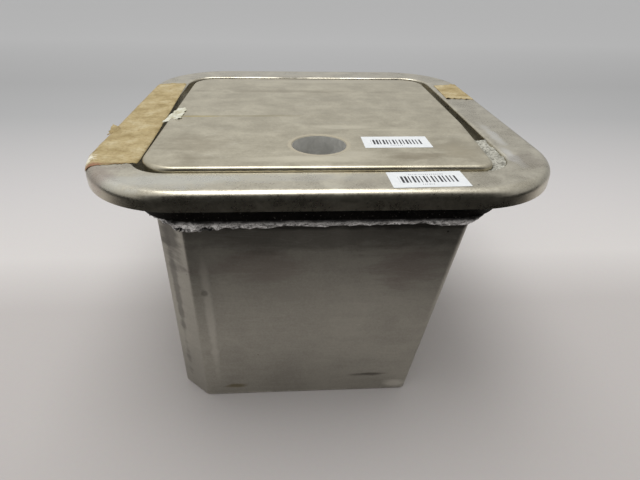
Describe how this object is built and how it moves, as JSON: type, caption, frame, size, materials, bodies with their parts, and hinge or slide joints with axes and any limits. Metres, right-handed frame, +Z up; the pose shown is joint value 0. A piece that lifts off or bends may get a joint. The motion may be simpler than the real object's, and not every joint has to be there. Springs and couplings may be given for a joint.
{
  "type": "electrical junction box",
  "caption": "Flush-mounted aluminium junction box: rounded flange frame, loose cover with a bored sleeve lying in a recessed well, and a bent sheet body with terminals inside.",
  "frame": {"origin": "under the middle of the flange, on the underside of the body", "axes": "+Z up out of the cover, +X to the right along the front, +Y to the back wall with the conduit hubs"},
  "size_m": [0.3562, 0.363, 0.238],
  "materials": {
    "mill_plate": "bare mill-finish plate, scuffed",
    "cover_aluminium": "bare mill-finish plate with stains and scratches",
    "satin_sheet": "bare satin sheet",
    "weld_bead": "rough as-welded bead",
    "turned_aluminium": "turned",
    "rubber_seal": "matt",
    "zinc_steel": "bright zinc plated",
    "terminal_plastic": "moulded, matt",
    "earth_brass": "drawn, satin",
    "label_paper": "smooth coated",
    "masking_tape": "creped, matt",
    "dry_sealant": "granular, matt"
  },
  "bodies": {
    "box": {"flange_frame": "mill_plate", "well_collar": "satin_sheet", "well_floor": "satin_sheet", "cover_seat": "satin_sheet", "cover_gasket": "rubber_seal", "body_wrap": "satin_sheet", "back_wall": "satin_sheet", "bottom_plate": "satin_sheet", "bottom_weld": "weld_bead", "collar_weld": "weld_bead", "flange_weld": "weld_bead", "back_seam_welds": "weld_bead", "hub_welds": "weld_bead", "conduit_hubs": "turned_aluminium", "entry_plug": "zinc_steel", "mounting_plate": "mill_plate", "plate_posts": "turned_aluminium", "plate_washers": "zinc_steel", "plate_nuts": "zinc_steel", "terminal_rail": "zinc_steel", "rail_screws": "zinc_steel", "terminal_blocks": "terminal_plastic", "terminal_screws": "zinc_steel", "end_clamps": "terminal_plastic", "earth_bar": "earth_brass", "earth_bar_posts": "earth_brass", "earth_bar_screws": "zinc_steel", "earth_stud": "zinc_steel", "earth_washers": "zinc_steel", "earth_nuts": "zinc_steel", "flange_label": "label_paper", "masking_tape_left": "masking_tape", "masking_tape_right": "masking_tape", "corner_sealant": "dry_sealant"},
    "cover": {"cover_plate": "cover_aluminium", "cover_sleeve": "turned_aluminium", "sleeve_weld": "weld_bead", "cover_label": "label_paper", "tape_scrap": "masking_tape"}
  },
  "joints": [
    {"name": "cover_lift", "type": "slide", "parent": "box", "child": "cover", "axis": [0, 0, 1], "range_m": [0, 0.12]}
  ]
}
